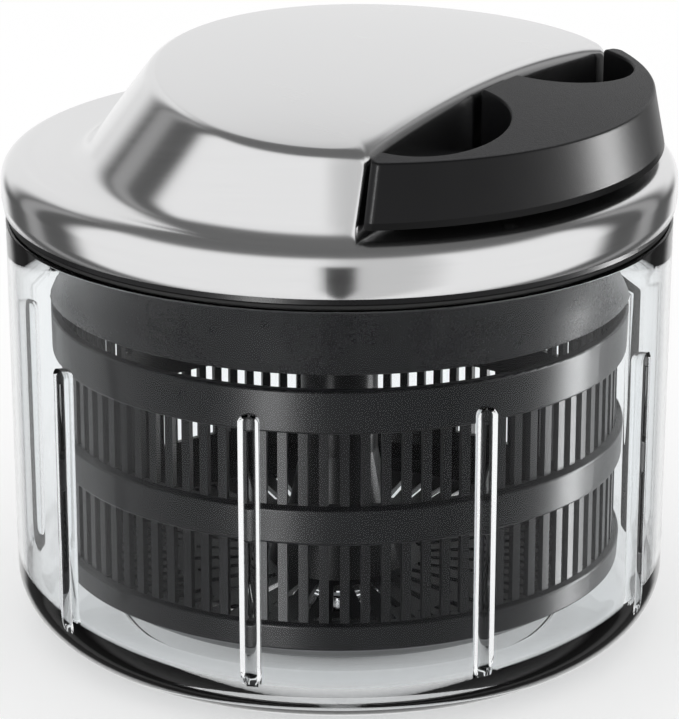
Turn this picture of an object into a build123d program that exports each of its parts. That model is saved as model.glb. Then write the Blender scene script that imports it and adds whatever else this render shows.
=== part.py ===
# Pull-cord salad spinner: clear bowl, slotted basket and a steel-topped lid that holds the cord drive.
# Millimetres. +Z is up, the origin is the centre of the bowl's underside, and the handle pulls along +X.
from build123d import *
from math import cos, radians, sin, sqrt
import os

os.makedirs("parts", exist_ok=True)

# ---- driving dimensions -------------------------------------------------------------------------
lid_radius = 120.0            # widest part of the steel lid's rim
sheet = 1.0                   # steel sheet thickness
running_gap = 0.05            # radial clearance of a shaft in its bush
free_gap = 0.3                # clearance between bodies that move past each other

# bowl
bowl_top_z = 151.9
bowl_radius = 118.8           # outside, at the top
bowl_draft = 0.6              # how much narrower it is at the base corner
bowl_wall = 3.0
bowl_floor_z = 7.0            # top face of the floor
base_corner = 22.0            # outside radius where wall and base meet
foot_inner_radius = 80.0      # the underside is hollowed inside this radius
foot_hollow = 1.5
rib_count = 9
rib_first_angle = 6.0
rib_radius = 3.4
rib_bottom_z = 20.0
rib_top_z = 111.0
pivot_boss_radius = 14.0
pivot_boss_z = 10.0
pin_radius = 3.0
pin_seat_z = 4.5
pin_top_z = 25.0

# pivot bush
bush_neck_radius = 9.0
bush_flange_radius = 13.0
bush_flange_top = 15.7
bush_top_z = 29.5

# basket
basket_top_z = 119.7
basket_radius = 104.0         # outside of the top ring
basket_bore = 98.2            # inside radius of the wall
slot_wall_radius = 100.4
basket_floor_z = 17.0
basket_floor = 2.2
basket_floor_radius = 89.0    # the floor is flat out to here, then a dished corner rises to the lowest ring
basket_corner_z = 23.2
slot_count = 90
slot_width = 3.8
drain_slot_width = 3.0
drain_slots = ((30.0, 54.0, 30), (60.0, 86.0, 60))    # inner radius, outer radius, count
ring_round = 0.8
ring_1 = (104.4, basket_top_z, basket_radius)         # lower edge, upper edge, radius
ring_2 = (64.3, 77.4, 103.0)
ring_3 = (25.2, 34.7, 102.4)
column_radius = 14.0
column_foot_radius = 26.0     # the column flares out where it meets the floor
column_flare_z = 42.0
column_straight_z = 62.0
column_top_z = 118.0
column_bore = 11.8
socket_across_flats = 16.6
socket_floor_z = 97.0
socket_web = 3.0
bush_socket_radius = bush_neck_radius + free_gap

# steel lid
rim_bottom_z = 156.2
rim_tuck = 0.7                # the rim's lower edge turns in by this much
rim_tuck_height = 4.0
rim_corner = 8.0
rim_straight_z = 166.0
annulus_outer_z = rim_straight_z + rim_corner
annulus_inner_z = 176.0
annulus_inner_radius = 92.0
foot_centre_x = 25.6          # the raised housing stands off the lid's axis, towards the handle
foot_radius = 110.7
crown_centre_x = 38.5
crown_radius = 101.5
crown_edge_z = 205.2          # height of the crown's edge plane at the lid's axis
crown_slope = 0.097           # the edge plane falls towards the handle
crown_rise = 9.0              # how far the top bulges above that plane
flank_foot_radius = 113.0     # the housing's flank is trimmed concentric with the rim
flank_top_radius = 105.3
flank_foot_z = annulus_outer_z
flank_top_z = 199.9
recess_x = 62.0               # flat wall of the handle's recess
crown_edge_round = 3.0

# inner cover
skirt_top_radius = 110.2
skirt_bottom_radius = 104.5
skirt_bottom_z = 125.5
skirt_wall = 2.0
cover_floor_z = 138.0
cover_floor = 2.5
flange_bottom_z = 154.3
seal_bottom_z = 152.2

# drive
axle_radius = 4.0
hub_shaft_radius = 11.0
dog_across_flats = socket_across_flats - 2 * free_gap
dog_bottom_z = 100.0
dog_top_z = 124.0
clip_z = 106.5
clip_height = 0.8
ratchet_floor_z = 148.0
ratchet_z = 151.0
ratchet_top_z = 159.0
tooth_count = 12
tooth_tip_radius = 24.0
tooth_root_radius = 27.0
tooth_first_angle = 29.0
tooth_arc = 22.0
pawl_pivot_radius = 16.0
pawl_length = 11.0
pawl_rest_angle = 74.5
pawl_pin_radius = 1.5
drum_bottom_z = 159.5
winding_bottom_z = 181.0
winding_top_z = 193.0
drum_flange = 2.0
drum_core_radius = 30.0
drum_flange_radius = 42.0
winding_radius = 36.0
arbor_radius = 10.0
arbor_top_z = 204.5
housing_radius = 48.0
housing_wall = 2.0
housing_top_z = 205.0
cap_thickness = 2.0

# cord and handle
cord_radius = 1.1
cord_z = 187.0
handle_x = 63.4               # the face that lies against the recess wall
handle_bottom_z = 178.2
handle_top_radius = 110.7
handle_bottom_radius = 114.8
handle_plate = 2.2
grip_wall = 2.5
scoop_centre_y = 46.0
scoop_half_x = 26.0
scoop_half_y = 34.0
scoop_floor_z = 184.0
scoop_round = 0.8


# ---- helpers ------------------------------------------------------------------------------------
def save(solid, name):
    # labels the finished piece and writes its file
    solid.label = name
    export_step(solid, f"parts/{name}.step")


def turned(points):
    # solid of revolution about Z from a closed outline of (radius, height) points
    with BuildPart() as piece:
        with BuildSketch(Plane.XZ):
            with BuildLine():
                Polyline(points, close=True)
            make_face()
        revolve(axis=Axis.Z)
    return piece.part


def ring(inner, outer, low, high):
    return turned([(inner, low), (outer, low), (outer, high), (inner, high)])


def screws(places, head_z, tip_z, head_radius, head_height, shank_radius):
    # a group of pan-head screws along Z, head at head_z, each with a cross recess
    upwards = 1 if tip_z > head_z else -1
    cross_long = head_radius * 1.2
    cross_wide = head_radius * 0.3
    with BuildPart() as group:
        for x, y in places:
            with BuildSketch(Plane((x, y, head_z), z_dir=(0, 0, upwards))):
                Circle(head_radius)
            extrude(amount=head_height)
            with BuildSketch(Plane((x, y, head_z), z_dir=(0, 0, upwards))):
                Rectangle(cross_long, cross_wide)
                Rectangle(cross_wide, cross_long)
            extrude(amount=head_height / 2, mode=Mode.SUBTRACT)
            with BuildSketch(Plane((x, y, head_z + upwards * head_height), z_dir=(0, 0, upwards))):
                Circle(shank_radius)
            extrude(amount=abs(tip_z - head_z) - head_height)
    return group.part


def polar(radius, angle):
    return (radius * cos(radians(angle)), radius * sin(radians(angle)))


# ---- bowl ---------------------------------------------------------------------------------------
wall_foot_radius = bowl_radius - bowl_draft
inner_corner = base_corner - bowl_wall
inner_foot_radius = wall_foot_radius - bowl_wall
rib_axis_radius = inner_foot_radius - 1.0
lip_round = 0.9
with BuildPart() as bowl:
    with BuildSketch(Plane.XZ):
        with BuildLine():
            Polyline((0, foot_hollow), (foot_inner_radius, foot_hollow), (foot_inner_radius + foot_hollow, 0),
                     (wall_foot_radius - base_corner, 0))
            RadiusArc((wall_foot_radius - base_corner, 0), (wall_foot_radius, base_corner), -base_corner)
            Polyline((wall_foot_radius, base_corner), (bowl_radius, bowl_top_z),
                     (bowl_radius - bowl_wall, bowl_top_z), (inner_foot_radius, bowl_floor_z + inner_corner))
            RadiusArc((inner_foot_radius, bowl_floor_z + inner_corner),
                      (inner_foot_radius - inner_corner, bowl_floor_z), inner_corner)
            Polyline((inner_foot_radius - inner_corner, bowl_floor_z), (pivot_boss_radius, bowl_floor_z),
                     (pivot_boss_radius, pivot_boss_z), (pin_radius, pivot_boss_z), (pin_radius, pin_seat_z),
                     (0, pin_seat_z), (0, foot_hollow))
        make_face()
    revolve(axis=Axis.Z)
    fillet(bowl.edges().filter_by(GeomType.CIRCLE).group_by(Axis.Z)[-1], radius=lip_round)
    # gripping ribs inside the wall, each with a rounded top
    with PolarLocations(rib_axis_radius, rib_count, start_angle=rib_first_angle):
        with Locations((0, 0, rib_bottom_z)):
            Cylinder(rib_radius, rib_top_z - rib_bottom_z, align=(Align.CENTER, Align.CENTER, Align.MIN))
        with Locations((0, 0, rib_bottom_z), (0, 0, rib_top_z)):
            Sphere(rib_radius)
save(bowl.part, "bowl")

with BuildPart() as pivot_pin:
    with Locations((0, 0, pin_seat_z)):
        Cylinder(pin_radius, pin_top_z - pin_radius - pin_seat_z, align=(Align.CENTER, Align.CENTER, Align.MIN))
    with Locations((0, 0, pin_top_z - pin_radius)):
        Sphere(pin_radius)
save(pivot_pin.part, "pivot_pin")

# ---- pivot bush ---------------------------------------------------------------------------------
bush_bore = pin_radius + running_gap
bush_bottom_z = pivot_boss_z + free_gap
with BuildPart() as pivot_bush:
    with BuildSketch(Plane.XZ):
        with BuildLine():
            Polyline((bush_bore, bush_bottom_z), (bush_flange_radius, bush_bottom_z),
                     (bush_flange_radius, bush_flange_top), (bush_neck_radius, bush_flange_top),
                     (bush_neck_radius, bush_top_z), (0, bush_top_z), (0, pin_top_z + running_gap))
            RadiusArc((0, pin_top_z + running_gap), (bush_bore, pin_top_z - pin_radius), bush_bore)
            Line((bush_bore, pin_top_z - pin_radius), (bush_bore, bush_bottom_z))
        make_face()
    revolve(axis=Axis.Z)
save(pivot_bush.part, "pivot_bush")

# ---- basket -------------------------------------------------------------------------------------
edge_draft = 0.5              # each ring narrows a little towards its lower edge
ring_step = 1.0               # height of the slope from a ring back to the slotted wall
ring_wall = 3.0
floor_sink = 1.0              # the floor's middle hangs this much lower
sink_radius = 22.0
corner_outside = (93.0, 19.4)
corner_top_radius = 98.6
corner_inside = (94.0, 22.5)
wall_foot_z = 27.0
flare_inner_radius = 18.0
bush_socket_z = 38.0
bore_start_z = 46.0
socket_neck = column_bore - 2.0
past_wall = 7.0
past_floor = 8.0
with BuildPart() as basket:
    with BuildSketch(Plane.XZ):
        with BuildLine():
            Polyline((bush_socket_radius, basket_floor_z - floor_sink), (sink_radius, basket_floor_z - floor_sink),
                     (sink_radius + 2 * floor_sink, basket_floor_z), (basket_floor_radius, basket_floor_z),
                     corner_outside, (corner_top_radius, basket_corner_z), (ring_3[2] - edge_draft, ring_3[0]),
                     (ring_3[2], ring_3[1] - ring_step), (slot_wall_radius, ring_3[1]),
                     (slot_wall_radius, ring_2[0] - ring_step), (ring_2[2] - edge_draft, ring_2[0]),
                     (ring_2[2], ring_2[1] - ring_step), (slot_wall_radius, ring_2[1]),
                     (slot_wall_radius, ring_1[0] - ring_step), (ring_1[2] - edge_draft, ring_1[0]),
                     (ring_1[2], ring_1[1]), (ring_1[2] - ring_wall, ring_1[1]),
                     (basket_bore, ring_1[0]), (basket_bore, wall_foot_z), corner_inside,
                     (basket_floor_radius - 1.0, basket_floor_z + basket_floor),
                     (column_foot_radius, basket_floor_z + basket_floor), (flare_inner_radius, column_flare_z),
                     (column_radius, column_straight_z), (column_radius, column_top_z),
                     (socket_neck, column_top_z), (socket_neck, socket_floor_z - socket_web),
                     (column_bore, socket_floor_z - socket_web), (column_bore, bore_start_z),
                     (bush_socket_radius, bush_socket_z), close=True)
        make_face()
    revolve(axis=Axis.Z)
    round_edges = basket.edges().filter_by(GeomType.CIRCLE)
    ring_edges = [edge for edge in round_edges if edge.radius > slot_wall_radius + 1]
    fillet(ring_edges, radius=ring_round)
    # the socket's walls and web, then its six-sided pocket
    with BuildSketch(Plane.XY.offset(socket_floor_z - socket_web)):
        Circle(column_bore)
    extrude(amount=column_top_z - socket_floor_z + socket_web)
    with BuildSketch(Plane.XY.offset(socket_floor_z)):
        RegularPolygon(socket_across_flats / 2, 6, major_radius=False)
    extrude(amount=column_top_z - socket_floor_z + 1, mode=Mode.SUBTRACT)
    # two tiers of slots in the wall
    for low, high in ((ring_3[1], ring_2[0] - ring_step), (ring_2[1], ring_1[0] - ring_step)):
        with PolarLocations((basket_bore + slot_wall_radius) / 2, slot_count):
            with Locations((0, 0, (low + high) / 2)):
                Box(past_wall, slot_width, high - low, mode=Mode.SUBTRACT)
    # drain slots in the floor
    for start, end, count in drain_slots:
        with PolarLocations((start + end) / 2, count):
            with Locations((0, 0, basket_floor_z)):
                Box(end - start, drain_slot_width, past_floor, mode=Mode.SUBTRACT)
save(basket.part, "basket")

# ---- steel lid ----------------------------------------------------------------------------------
crown_centre = Vector(crown_centre_x, 0, crown_edge_z - crown_slope * crown_centre_x)
crown_normal = Vector(crown_slope, 0, 1).normalized()
crown_ball = (crown_radius**2 + crown_rise**2) / (2 * crown_rise)
ball_centre = crown_centre + crown_normal * (crown_rise - crown_ball)
flank_slope = (flank_foot_radius - flank_top_radius) / (flank_top_z - flank_foot_z)
drift = (crown_centre_x - foot_centre_x) / (crown_centre.Z - annulus_inner_z)
narrowing = (foot_radius - crown_radius) / (crown_centre.Z - annulus_inner_z)
dome_base_z = 150.0
above_crown = 14.0


def under_crown(drop):
    # a thick slab whose top face is the crown's ball, lowered by drop
    with BuildPart() as slab:
        with Locations(ball_centre):
            Sphere(crown_ball - drop)
        split(bisect_by=Plane.XY.offset(dome_base_z), keep=Keep.TOP)
    return slab.part


def raised_housing(inset):
    # the sloping, off-centre housing, with every face moved inwards by inset
    foot = (foot_centre_x - drift * (annulus_inner_z - dome_base_z), 0, dome_base_z)
    foot_r = foot_radius + narrowing * (annulus_inner_z - dome_base_z)
    top = crown_centre + crown_normal * above_crown + Vector(drift * above_crown, 0, 0)
    with BuildPart() as form:
        with BuildSketch(Plane(foot, z_dir=(0, 0, 1))):
            Circle(foot_r - inset)
        with BuildSketch(Plane(top, z_dir=crown_normal)):
            Circle(crown_radius - narrowing * above_crown - inset)
        loft()
        height = 70.0
        with Locations((0, 0, dome_base_z)):
            Cone(flank_foot_radius + flank_slope * (flank_foot_z - dome_base_z) - inset,
                 flank_foot_radius + flank_slope * (flank_foot_z - dome_base_z - height) - inset, height,
                 align=(Align.CENTER, Align.CENTER, Align.MIN), mode=Mode.INTERSECT)
        add(under_crown(inset), mode=Mode.INTERSECT)
        split(bisect_by=Plane((recess_x - inset, 0, 0), z_dir=(1, 0, 0)), keep=Keep.BOTTOM)
        top_edges = form.faces().sort_by(Axis.Z)[-1].edges()
        fillet(top_edges, radius=crown_edge_round - inset)
    return form.part


def lid_form(inset, bottom_z):
    # rim, crowned annulus and raised housing as one solid, moved inwards by inset
    side_radius = lid_radius - inset
    with BuildPart() as form:
        with BuildSketch(Plane.XZ):
            with BuildLine():
                Polyline((0, bottom_z), (side_radius - rim_tuck, bottom_z),
                         (side_radius, rim_bottom_z + rim_tuck_height), (side_radius, rim_straight_z))
                RadiusArc((side_radius, rim_straight_z), (lid_radius - rim_corner, annulus_outer_z - inset),
                          -(rim_corner - inset))
                Polyline((lid_radius - rim_corner, annulus_outer_z - inset),
                         (annulus_inner_radius, annulus_inner_z - inset), (0, annulus_inner_z - inset),
                         (0, bottom_z))
            make_face()
        revolve(axis=Axis.Z)
        add(raised_housing(inset))
        split(bisect_by=Plane.XY.offset(bottom_z), keep=Keep.TOP)
    return form.part


# ---- what the lid's fastenings share ------------------------------------------------------------
eyelet_neck = 4.5
eyelet_flange = 6.5
eyelet_inner_x = 58.5
cover_screw_radius = 1.6
housing_screw_radius = 1.5
stud_radius = 4.0
cap_screw_radius = 1.2
stud_length = 20.0
stud_hole = 6.0
post_radius = 5.5
post_top_z = 165.0
post_places = [polar(101, 140), polar(101, 180), polar(101, 220), (89, 32), (89, -32)]
housing_flange_radius = 56.0
housing_flange = 3.0
housing_screw_places = [polar(52, 45 + 90 * i) for i in range(4)]
cap_screw_places = [polar(housing_radius - housing_wall / 2, 90 * i) for i in range(4)]
cover_floor_top = cover_floor_z + cover_floor
bush_boss_radius = 17.0
bush_outer_radius = 13.5
bush_boss_low = 136.0
bush_boss_top = 146.5

with BuildPart() as steel_lid:
    add(lid_form(0, rim_bottom_z))
    add(lid_form(sheet, dome_base_z), mode=Mode.SUBTRACT)
    with Locations(Plane((recess_x, 0, cord_z), z_dir=(1, 0, 0))):
        Cylinder(eyelet_neck, 4 * sheet, mode=Mode.SUBTRACT)
save(steel_lid.part, "steel_lid")

# threaded studs welded inside the steel, with the posts of the inner cover under them
weld_gap = 0.02
with BuildPart() as lid_studs:
    with Locations([(x, y, post_top_z) for x, y in post_places]):
        Cylinder(stud_radius, stud_length, align=(Align.CENTER, Align.CENTER, Align.MIN))
        Cylinder(cover_screw_radius, stud_hole, align=(Align.CENTER, Align.CENTER, Align.MIN), mode=Mode.SUBTRACT)
    add(lid_form(sheet + weld_gap, dome_base_z), mode=Mode.INTERSECT)
save(lid_studs.part, "lid_studs")

# ---- inner cover, seal and their screws ---------------------------------------------------------
flange_radius = lid_radius - 1.6
pan_head = 2.2                # height of the larger screws' heads
skirt_slope = (skirt_top_radius - skirt_bottom_radius) / (seal_bottom_z - skirt_bottom_z)
skirt_at_floor = skirt_bottom_radius + skirt_slope * (cover_floor_z - skirt_bottom_z) - skirt_wall
skirt_above_floor = skirt_at_floor + skirt_slope * cover_floor
with BuildPart() as inner_cover:
    with BuildSketch(Plane.XZ):
        with BuildLine():
            Polyline((bush_outer_radius, bush_boss_low), (bush_boss_radius, bush_boss_low),
                     (bush_boss_radius, cover_floor_z), (skirt_at_floor, cover_floor_z),
                     (skirt_bottom_radius - skirt_wall, skirt_bottom_z), (skirt_bottom_radius, skirt_bottom_z),
                     (skirt_top_radius, seal_bottom_z), (skirt_top_radius, flange_bottom_z),
                     (flange_radius, flange_bottom_z), (flange_radius, rim_bottom_z),
                     (skirt_top_radius - skirt_wall, rim_bottom_z), (skirt_top_radius - skirt_wall, seal_bottom_z),
                     (skirt_above_floor, cover_floor_top), (bush_boss_radius, cover_floor_top),
                     (bush_boss_radius, bush_boss_top), (bush_outer_radius, bush_boss_top), close=True)
        make_face()
    revolve(axis=Axis.Z)
    fillet(inner_cover.edges().filter_by(GeomType.CIRCLE).group_by(Axis.Z)[0], radius=skirt_wall * 0.4)
    with Locations([(x, y, cover_floor_z) for x, y in post_places]):
        Cylinder(post_radius, post_top_z - cover_floor_z, align=(Align.CENTER, Align.CENTER, Align.MIN))
    with Locations([(x, y, cover_floor_z) for x, y in post_places]):
        Cylinder(cover_screw_radius, post_top_z - cover_floor_z + 1,
                 align=(Align.CENTER, Align.CENTER, Align.MIN), mode=Mode.SUBTRACT)
    with Locations([(x, y, cover_floor_z) for x, y in housing_screw_places]):
        Cylinder(housing_screw_radius, 3 * cover_floor, mode=Mode.SUBTRACT)
save(inner_cover.part, "inner_cover")

seal_outer_radius = lid_radius - 2.0
seal_inner_radius = skirt_top_radius + 0.5
seal_edge = 0.6
save(turned([(seal_inner_radius, seal_bottom_z + seal_edge), (seal_inner_radius + seal_edge, seal_bottom_z),
             (seal_outer_radius - seal_edge, seal_bottom_z), (seal_outer_radius, seal_bottom_z + seal_edge),
             (seal_outer_radius, flange_bottom_z - seal_edge), (seal_outer_radius - seal_edge, flange_bottom_z),
             (seal_inner_radius, flange_bottom_z)]), "lid_seal")
save(screws(post_places, cover_floor_z - pan_head, post_top_z + stud_hole - 1, 3.6, pan_head,
            cover_screw_radius), "cover_screws")

# ---- drum housing and axle ----------------------------------------------------------------------
winding_line_radius = winding_radius + cord_radius + free_gap
run_start = Vector(eyelet_inner_x - free_gap, 0, cord_z)
run_length = sqrt(run_start.X**2 - winding_line_radius**2)
run_angle = winding_line_radius / run_start.X
run_direction = Vector(-run_length / run_start.X, -run_angle, 0)
window_distance = run_length - sqrt((housing_radius - housing_wall / 2)**2 - winding_line_radius**2)
window_centre = run_start + run_direction * window_distance
window = (14.0, 16.0, 9.0)
boss_radius = 3.0
boss_height = 12.0
boss_hole = 9.0
with BuildPart() as drum_housing:
    add(turned([(housing_radius - housing_wall, cover_floor_top), (housing_flange_radius, cover_floor_top),
                (housing_flange_radius, cover_floor_top + housing_flange),
                (housing_radius, cover_floor_top + housing_flange), (housing_radius, housing_top_z),
                (housing_radius - housing_wall, housing_top_z)]))
    with Locations([(x, y, cover_floor_top) for x, y in housing_screw_places]):
        Cylinder(housing_screw_radius, 3 * housing_flange, mode=Mode.SUBTRACT)
    # bosses for the cap's screws, then the window the cord leaves by
    with Locations([(x, y, housing_top_z) for x, y in cap_screw_places]):
        Cylinder(boss_radius, boss_height, align=(Align.CENTER, Align.CENTER, Align.MAX))
        Cylinder(cap_screw_radius, boss_hole, align=(Align.CENTER, Align.CENTER, Align.MAX), mode=Mode.SUBTRACT)
    with Locations(window_centre):
        Box(*window, mode=Mode.SUBTRACT)
save(drum_housing.part, "drum_housing")
save(screws(housing_screw_places, cover_floor_top + housing_flange + pan_head, cover_floor_z + 0.2, 3.4,
            pan_head, housing_screw_radius), "housing_screws")

with BuildPart() as housing_cap:
    with BuildSketch(Plane.XY.offset(housing_top_z)):
        Circle(housing_radius + housing_wall)
        Circle(axle_radius, mode=Mode.SUBTRACT)
        with Locations(cap_screw_places):
            Circle(cap_screw_radius, mode=Mode.SUBTRACT)
    extrude(amount=cap_thickness)
save(housing_cap.part, "housing_cap")
cap_top = housing_top_z + cap_thickness
small_head = 1.2
save(screws(cap_screw_places, cap_top + small_head, housing_top_z - boss_hole + 2, 2.2, small_head,
            cap_screw_radius), "cap_screws")

axle_bottom_z = 103.0
axle_edge = 0.6
axle_head_radius = 6.5
axle_head = 1.2
groove_radius = 3.2
with BuildPart() as centre_axle:
    add(turned([(0, axle_bottom_z), (axle_radius - axle_edge, axle_bottom_z),
                (axle_radius, axle_bottom_z + axle_edge), (axle_radius, clip_z), (groove_radius, clip_z),
                (groove_radius, clip_z + clip_height),
                (axle_radius, clip_z + clip_height), (axle_radius, cap_top), (axle_head_radius, cap_top),
                (axle_head_radius - axle_edge, cap_top + axle_head), (0, cap_top + axle_head)]))
save(centre_axle.part, "centre_axle")

clip_radius = 6.2
clip_mouth = 4.4
spacer_radius = 6.5
with BuildPart() as retaining_clip:
    with BuildSketch(Plane.XY.offset(clip_z)):
        Circle(clip_radius)
        Circle(groove_radius, mode=Mode.SUBTRACT)
        with Locations((clip_radius, 0)):
            Rectangle(2 * (clip_radius - 2), clip_mouth, mode=Mode.SUBTRACT)
    extrude(amount=clip_height)
save(retaining_clip.part, "retaining_clip")
save(ring(axle_radius, spacer_radius, ratchet_z + free_gap, drum_bottom_z - free_gap), "axle_spacer")
hub_bush_flange = 1.0
hub_bush_flange_radius = 16.0
save(turned([(hub_shaft_radius + running_gap, bush_boss_low), (bush_outer_radius, bush_boss_low),
             (bush_outer_radius, bush_boss_top), (hub_bush_flange_radius, bush_boss_top),
             (hub_bush_flange_radius, bush_boss_top + hub_bush_flange),
             (hub_shaft_radius + running_gap, bush_boss_top + hub_bush_flange)]), "hub_bush")

# ---- drive hub with its ratchet -----------------------------------------------------------------
hub_cup_radius = 32.0
ratchet_outer_radius = 30.0
clip_pocket_radius = 6.8
shaft_bore = axle_radius + running_gap
with BuildPart() as drive_hub:
    add(turned([(shaft_bore, dog_top_z), (hub_shaft_radius, dog_top_z), (hub_shaft_radius, ratchet_floor_z),
                (hub_cup_radius, ratchet_floor_z), (hub_cup_radius, ratchet_top_z),
                (ratchet_outer_radius, ratchet_top_z), (ratchet_outer_radius, ratchet_z),
                (shaft_bore, ratchet_z)]))
    with BuildSketch(Plane.XY.offset(dog_bottom_z)):
        RegularPolygon(dog_across_flats / 2, 6, major_radius=False)
        Circle(shaft_bore, mode=Mode.SUBTRACT)
    extrude(amount=dog_top_z - dog_bottom_z)
    with BuildSketch(Plane.XY.offset(dog_bottom_z)):
        Circle(clip_pocket_radius)
    extrude(amount=clip_z + clip_height + free_gap - dog_bottom_z, mode=Mode.SUBTRACT)
save(drive_hub.part, "drive_hub")

tooth_base_radius = tooth_root_radius + 0.3
with BuildPart() as ratchet_ring:
    with BuildSketch(Plane.XY.offset(ratchet_z)):
        Circle(ratchet_outer_radius)
        Circle(tooth_root_radius, mode=Mode.SUBTRACT)
        for i in range(tooth_count):
            start = tooth_first_angle + i * 360 / tooth_count
            with BuildLine():
                Polyline(polar(tooth_base_radius, start), polar(tooth_tip_radius, start),
                         polar(tooth_base_radius, start + tooth_arc), close=True)
            make_face()
    extrude(amount=ratchet_top_z - ratchet_z)
save(ratchet_ring.part, "ratchet_ring")

# ---- cord drum, its winding and pawls -----------------------------------------------------------
drum_bush_radius = 7.0
pawl_disc_radius = 28.0
pawl_disc = 3.5
drum_wall = 3.0
pawl_places = [polar(pawl_pivot_radius, 0), polar(pawl_pivot_radius, 180)]
winding_floor = winding_bottom_z - drum_flange
drum_web_z = winding_bottom_z + 0.5
with BuildPart() as cord_drum:
    add(turned([(drum_bush_radius, drum_bottom_z), (pawl_disc_radius, drum_bottom_z),
                (pawl_disc_radius, drum_bottom_z + pawl_disc), (arbor_radius, drum_bottom_z + pawl_disc),
                (arbor_radius, winding_floor), (drum_flange_radius, winding_floor),
                (drum_flange_radius, winding_bottom_z), (drum_core_radius, winding_bottom_z),
                (drum_core_radius, winding_top_z), (drum_flange_radius, winding_top_z),
                (drum_flange_radius, winding_top_z + drum_flange),
                (drum_core_radius - drum_wall, winding_top_z + drum_flange),
                (drum_core_radius - drum_wall, drum_web_z), (arbor_radius, drum_web_z),
                (arbor_radius, arbor_top_z), (drum_bush_radius, arbor_top_z)]))
    with Locations([(x, y, drum_bottom_z) for x, y in pawl_places]):
        Cylinder(pawl_pin_radius, 2 * pawl_disc, mode=Mode.SUBTRACT)
save(cord_drum.part, "cord_drum")
save(ring(axle_radius + running_gap, drum_bush_radius, drum_bottom_z, arbor_top_z), "drum_bush")
save(ring(drum_core_radius, winding_radius, winding_bottom_z, winding_top_z), "cord_winding")

pawl_gap = 0.6                # over the ratchet's floor and under the drum
pawl_low_z = ratchet_z + pawl_gap
pawl_high_z = drum_bottom_z - pawl_gap
with BuildPart() as pawl_pins:
    with Locations([(x, y, pawl_low_z) for x, y in pawl_places]):
        Cylinder(pawl_pin_radius, drum_bottom_z + pawl_disc - pawl_low_z,
                 align=(Align.CENTER, Align.CENTER, Align.MIN))
save(pawl_pins.part, "pawl_pins")

pawl_eye_radius = 3.0
pawl_tip_radius = 1.2
for name, turn in (("pawl_front", 0), ("pawl_back", 180)):
    pivot = polar(pawl_pivot_radius, turn)
    reach = polar(pawl_length, turn + pawl_rest_angle)
    with BuildPart() as pawl:
        with BuildSketch(Plane.XY.offset(pawl_low_z)):
            with Locations(pivot):
                Circle(pawl_eye_radius)
            with Locations((pivot[0] + reach[0], pivot[1] + reach[1])):
                Circle(pawl_tip_radius)
            make_hull()
            with Locations(pivot):
                Circle(pawl_pin_radius + running_gap, mode=Mode.SUBTRACT)
        extrude(amount=pawl_high_z - pawl_low_z)
    save(pawl.part, name)

# ---- recoil spring: a flat spiral made of half turns --------------------------------------------
spring_start_radius = 12.0
spring_pitch = 3.8
spring_half_turns = 16
strip = 0.7
spring_gap = 1.0              # over the drum's flange and under the arbor's top
spring_low_z = winding_top_z + drum_flange + spring_gap
spring_high_z = arbor_top_z - spring_gap
half_step = spring_pitch / 2
with BuildPart() as recoil_spring:
    with BuildSketch(Plane.XY.offset(spring_low_z)):
        with BuildLine():
            ends = []
            for side in (-strip / 2, strip / 2):
                for k in range(spring_half_turns):
                    centre_x = half_step * (k % 2)
                    CenterArc((centre_x, 0), spring_start_radius + k * half_step + side, 180 * (k % 2), 180)
                ends.append((spring_start_radius + side, 0))
                ends.append((spring_start_radius + spring_half_turns * half_step + side, 0))
            Line(ends[0], ends[2])
            Line(ends[1], ends[3])
        make_face()
    extrude(amount=spring_high_z - spring_low_z)
save(recoil_spring.part, "recoil_spring")

# ---- cord and its eyelet ------------------------------------------------------------------------
eyelet_bore = 1.8
eyelet_flare = 0.8
eyelet_lip = 1.0
with BuildPart() as cord_eyelet:
    with BuildSketch(Plane.XZ):
        with BuildLine():
            Polyline((eyelet_inner_x, cord_z + eyelet_bore + eyelet_flare),
                     (eyelet_inner_x, cord_z + eyelet_neck),
                     (recess_x, cord_z + eyelet_neck), (recess_x, cord_z + eyelet_flange),
                     (recess_x + eyelet_lip / 2, cord_z + eyelet_flange),
                     (recess_x + eyelet_lip, cord_z + eyelet_flange - eyelet_lip / 2),
                     (recess_x + eyelet_lip, cord_z + eyelet_bore + eyelet_flare),
                     (recess_x + eyelet_lip - eyelet_flare, cord_z + eyelet_bore),
                     (eyelet_inner_x + eyelet_flare, cord_z + eyelet_bore), close=True)
        make_face()
    revolve(axis=Axis((0, 0, cord_z), (1, 0, 0)))
save(cord_eyelet.part, "cord_eyelet")

with BuildPart() as cord_run:
    with BuildSketch(Plane(run_start, z_dir=run_direction)):
        Circle(cord_radius)
    extrude(amount=run_length)
save(cord_run.part, "cord_run")

ferrule_x = handle_x + grip_wall + 0.3
ferrule_length = 6.0
ferrule_radius = 2.6
with BuildPart() as cord_end:
    with BuildSketch(Plane((eyelet_inner_x + free_gap, 0, cord_z), z_dir=(1, 0, 0))):
        Circle(cord_radius)
    extrude(amount=ferrule_x + ferrule_length - eyelet_inner_x - free_gap)
save(cord_end.part, "cord_end")

with BuildPart() as cord_ferrule:
    with BuildSketch(Plane((ferrule_x, 0, cord_z), z_dir=(1, 0, 0))):
        Circle(ferrule_radius)
        Circle(cord_radius, mode=Mode.SUBTRACT)
    extrude(amount=ferrule_length)
save(cord_ferrule.part, "cord_ferrule")

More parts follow.
